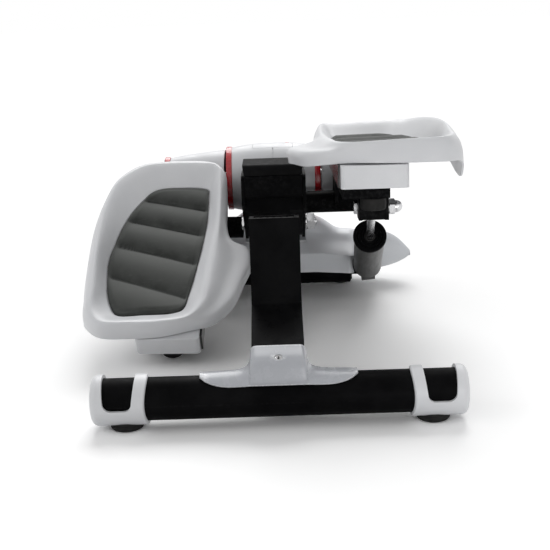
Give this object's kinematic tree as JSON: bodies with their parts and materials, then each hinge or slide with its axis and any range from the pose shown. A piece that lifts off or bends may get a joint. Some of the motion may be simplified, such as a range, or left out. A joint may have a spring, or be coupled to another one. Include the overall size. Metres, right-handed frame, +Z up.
{
  "type": "mini stepper",
  "caption": "Mini stepper with a bent post frame, tilted alternating pedals and hydraulic cylinders, for stepping exercise at home.",
  "frame": {"origin": "bottom centre of the bounding box, on the floor", "axes": "+Y from the heels towards the front, +X to the user's right, +Z up"},
  "size_m": [0.4616, 0.583, 0.2736],
  "materials": {
    "white": "smooth satin white",
    "black": "semi-gloss black powder coat",
    "rubber": "matt black",
    "mat": "dark grey with broad waves",
    "red": "glossy red",
    "grey": "satin dark grey",
    "black_plastic": "matt black",
    "chrome": "bright plated",
    "steel": "turned steel",
    "lens": "dark clear window"
  },
  "bodies": {
    "frame": {"rear_tube": "black", "rear_cap_right": "white", "rear_cap_left": "white", "rear_foot_right": "rubber", "rear_foot_left": "rubber", "spine": "black", "post_plug": "rubber", "foot_cover": "white", "bracket_plate_right": "black", "bracket_plate_left": "black", "bracket_web": "black", "bracket_cap": "black", "tie_beam": "black", "bracket_bolt": "chrome", "bracket_nut": "chrome", "front_column": "black", "axle_right": "steel", "axle_left": "steel", "centre_pod_cover": "white", "console_housing": "white", "console_lens": "lens", "inner_ring_right": "red", "inner_ring_left": "red", "front_bar": "black", "front_stabiliser": "black", "base_plate": "black", "front_foot_right": "rubber", "front_foot_left": "rubber", "front_fairing": "white"},
    "right_arm": {"arm_frame_right": "black", "arm_cover_right": "white", "pedal_shell_right": "white", "pedal_mat_right": "mat", "bumper_right": "rubber", "clevis_right": "black", "clevis_bolt_right": "chrome", "acorn_nut_right": "chrome", "outer_pod_cover_right": "white", "outer_ring_right": "red", "pod_end_cap_right": "white"},
    "right_cylinder": {"cylinder_body_right": "grey", "cylinder_gland_right": "black_plastic"},
    "right_rod": {"cylinder_rod_right": "chrome"},
    "left_arm": {"arm_frame_left": "black", "arm_cover_left": "white", "pedal_shell_left": "white", "pedal_mat_left": "mat", "bumper_left": "rubber", "clevis_left": "black", "clevis_bolt_left": "chrome", "acorn_nut_left": "chrome", "outer_pod_cover_left": "white", "outer_ring_left": "red", "pod_end_cap_left": "white"},
    "left_cylinder": {"cylinder_body_left": "grey", "cylinder_gland_left": "black_plastic"},
    "left_rod": {"cylinder_rod_left": "chrome"},
    "button": {"console_button": "red"}
  },
  "joints": [
    {"name": "right_arm_hinge", "type": "hinge", "parent": "frame", "child": "right_arm", "pos_m": [0.07882, 0.22024, 0.16588], "axis": [0.9963, 0, 0.0858], "range_deg": [0, 34.2]},
    {"name": "left_arm_hinge", "type": "hinge", "parent": "frame", "child": "left_arm", "pos_m": [-0.06718, 0.22024, 0.16588], "axis": [0.9963, 0, -0.0858], "range_deg": [-34.2, 0]},
    {"name": "right_cylinder_hinge", "type": "hinge", "parent": "frame", "child": "right_cylinder", "pos_m": [0.13672, 0.184, 0.0345], "axis": [0.9963, 0, 0.0858], "range_deg": [0, 33.3]},
    {"name": "left_cylinder_hinge", "type": "hinge", "parent": "frame", "child": "left_cylinder", "pos_m": [-0.12507, 0.184, 0.0345], "axis": [0.9963, 0, -0.0858], "range_deg": [-35.4, 0]},
    {"name": "right_rod_slide", "type": "slide", "parent": "right_cylinder", "child": "right_rod", "axis": [-0.0449, -0.852, 0.5216], "range_m": [-0.0828, 0]},
    {"name": "left_rod_slide", "type": "slide", "parent": "left_cylinder", "child": "left_rod", "axis": [-0.0042, -0.9988, -0.049], "range_m": [0, 0.0828]},
    {"name": "button_press", "type": "slide", "parent": "frame", "child": "button", "axis": [0, 0.1219, 0.9925], "range_m": [-0.0015, 0], "stiffness_N_per_m": 300}
  ],
  "couplings": [
    {"joint": "left_arm_hinge", "follows": "right_arm_hinge", "ratio": -1},
    {"joint": "right_cylinder_hinge", "follows": "right_arm_hinge", "ratio": 0.972},
    {"joint": "left_cylinder_hinge", "follows": "right_arm_hinge", "ratio": -1.032},
    {"joint": "right_rod_slide", "follows": "right_arm_hinge", "m_per_rad": -0.1385},
    {"joint": "left_rod_slide", "follows": "right_arm_hinge", "m_per_rad": 0.1385}
  ]
}
